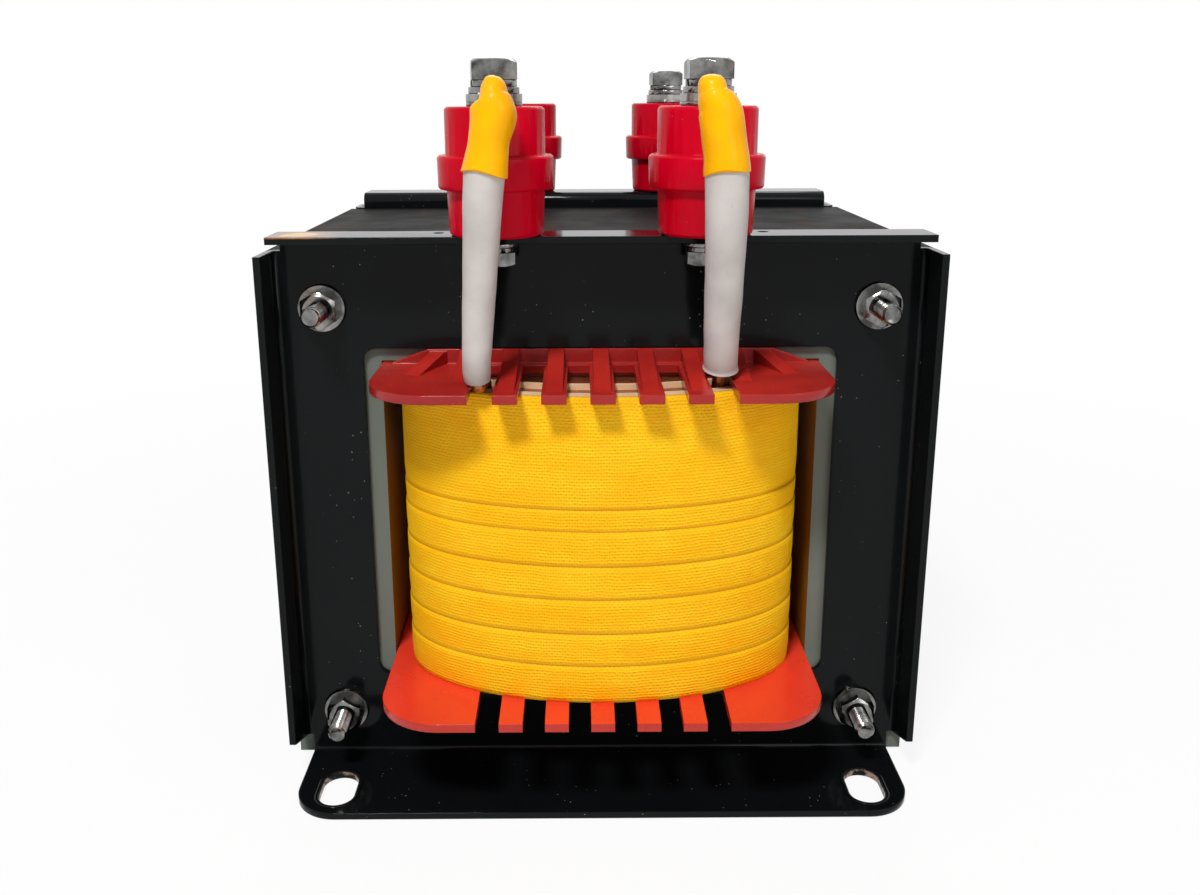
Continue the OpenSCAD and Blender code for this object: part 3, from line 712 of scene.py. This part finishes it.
def boots_and_sleeves():
    for terminal, sx, sy in TERMINALS:
        seed = 3.1 * sx + 7.7 * sy

        def mouth(t, sy=sy, seed=seed):
            return 1.3 * max(0.0, -sy * math.sin(t)) ** 2 + 0.25 * math.sin(3 * t + seed)

        boot, sleeve = (
            smooth_path([(sx * x, sy * (HALF + u), z, w, d) for z, x, u, w, d in rows[sx]], steps)
            for rows, steps in ((BOOT_ROWS, 4), (SLEEVE_ROWS, 5))
        )
        cover("boot", terminal, boot, seed, mouth)
        cover("sleeve", terminal, sleeve, seed + 20)


boots_and_sleeves()


# ---------- feet: the rolled rim round the slots ----------

RIM_AROUND, RIM_SECTION = 64, 8
RIM_MIDDLE = 0.75  # from the slot's wall to the rim's crest
RIM_HALF = 0.65
RIM_H = 0.42
RIM_SINK = 0.05
RIM_ROUGH = 0.12


def slot_burrs():
    verts, faces = [], []
    for sx in (-1, 1):
        for sy in (-1, 1):
            start = len(verts)
            for i in range(RIM_AROUND):
                a = 2 * math.pi * i / RIM_AROUND
                shift = SLOT_HALF if math.sin(a) >= 0 else -SLOT_HALF
                rough = noise.noise(Vector((math.cos(a) * 2 + 5 * sx, math.sin(a) * 2, sy * 4)))
                for k in range(RIM_SECTION):
                    b = math.pi * k / (RIM_SECTION - 1)
                    r = SLOT_R + RIM_MIDDLE + RIM_HALF * math.cos(b)
                    h = SHEET - RIM_SINK + (RIM_H + RIM_ROUGH * rough) * math.sin(b)
                    verts.append((sx * SLOT_X + r * math.cos(a), sy * SLOT_Y + shift + r * math.sin(a), h))
            for i in range(RIM_AROUND):
                a, b = start + i * RIM_SECTION, start + (i + 1) % RIM_AROUND * RIM_SECTION
                faces += [(a + k, b + k, b + k + 1, a + k + 1) for k in range(RIM_SECTION - 1)]
                faces.append((a, a + RIM_SECTION - 1, b + RIM_SECTION - 1, b))
    piece("slot_burrs", verts, faces, ENAMEL)


slot_burrs()


# ---------- stage ----------

FLOOR_HALF = 4.0
FLOOR_Z = -0.0004
FLOOR_FADE = (0.2, 0.55, 0.88, 1.0)  # from a radius to a radius, the share of plain white that is seen
SOFT_LIGHT = ((0.95, 0.97, 1.0), 0.24)
WHITE = ((1.0, 1.0, 1.0), 1.0)
# Name, place, target, size and power
LAMPS = (
    ("key", (-0.25, -0.75, 1.05), (0, -0.05, 0.09), (0.22, 0.16), 12.0),
    ("fill", (0.65, -0.95, 0.55), (0, -0.05, 0.09), (0.6, 0.5), 2.6),
    ("back", (0.1, 0.9, 0.9), (0, 0, 0.12), (0.8, 0.4), 3.6),
)


def light_node(nodes, kind, colour, strength):
    made = nodes.node(kind)
    nodes.feed(made.inputs["Color"], colour)
    nodes.feed(made.inputs["Strength"], strength)
    return made.outputs[0]


def white_floor():
    """A floor that takes the object's shadow near it and is plain white further out."""
    m = Material("floor_white", Roughness=0.9)
    m.to("Base Color", m.mix(m.noise(3, 2), (0.88, 0.88, 0.88), (0.90, 0.90, 0.90)))
    x, y, _ = m.axes()
    blend = m.node("ShaderNodeMixShader")
    m.feed(blend.inputs[0], m.times(m.seen(), m.span(m.length(x, y), *FLOOR_FADE)))
    m.feed(blend.inputs[1], m.shader.outputs[0])
    m.feed(blend.inputs[2], light_node(m, "ShaderNodeEmission", *WHITE))
    m.feed(m.tree.nodes["Material Output"].inputs["Surface"], blend.outputs[0])
    corners = [(FLOOR_HALF * i, FLOOR_HALF * j, FLOOR_Z) for i, j in ((-1, -1), (1, -1), (1, 1), (-1, 1))]
    mesh = bpy.data.meshes.new("floor")
    mesh.from_pydata(corners, [], [(0, 1, 2, 3)])
    mesh.materials.append(m.mat)
    floor = bpy.data.objects.new("floor", mesh)
    bpy.context.scene.collection.objects.link(floor)


def white_world():
    """White where it is seen, and a dimmer light on everything else."""
    world = bpy.data.worlds.new("studio")
    bpy.context.scene.world = world
    world.use_nodes = True
    world.node_tree.nodes.clear()
    n = Nodes(world.node_tree)
    blend = n.node("ShaderNodeMixShader")
    n.feed(blend.inputs[0], n.seen())
    n.feed(blend.inputs[1], light_node(n, "ShaderNodeBackground", *SOFT_LIGHT))
    n.feed(blend.inputs[2], light_node(n, "ShaderNodeBackground", *WHITE))
    n.feed(n.node("ShaderNodeOutputWorld").inputs["Surface"], blend.outputs[0])


def lamp(name, place, target, size, power):
    data = bpy.data.lights.new(name, "AREA")
    data.shape = "RECTANGLE"
    data.size, data.size_y = size
    data.energy = power
    obj = bpy.data.objects.new(name, data)
    obj.location = place
    obj.rotation_mode = "QUATERNION"
    obj.rotation_quaternion = (Vector(place) - Vector(target)).to_track_quat("Z", "Y")
    bpy.context.scene.collection.objects.link(obj)


white_floor()
white_world()
for settings in LAMPS:
    lamp(*settings)


# ---------- camera, at the photograph's viewing angle ----------

CAMERA_AT = (-0.0060, -0.3904, 0.2026)
YAW, PITCH, ROLL = math.radians(0.14), math.radians(14.66), math.radians(-0.23)
LENS = 34.19
SHIFT = (0.0144, -0.0429)


def camera():
    data = bpy.data.cameras.new("camera")
    data.sensor_fit = "HORIZONTAL"
    data.sensor_width = 36
    data.lens = LENS
    data.shift_x, data.shift_y = SHIFT
    data.clip_start, data.clip_end = 0.01, 20
    obj = bpy.data.objects.new("camera", data)
    ahead = Vector((math.sin(YAW) * math.cos(PITCH), math.cos(YAW) * math.cos(PITCH), -math.sin(PITCH)))
    level = Vector((math.cos(YAW), -math.sin(YAW), 0))
    right = level * math.cos(ROLL) + level.cross(ahead) * math.sin(ROLL)
    turn = Matrix((right, right.cross(ahead), -ahead)).transposed()
    obj.matrix_world = Matrix.Translation(CAMERA_AT) @ turn.to_4x4()
    bpy.context.scene.collection.objects.link(obj)
    bpy.context.scene.camera = obj


camera()
bpy.context.scene.view_settings.view_transform = "Standard"
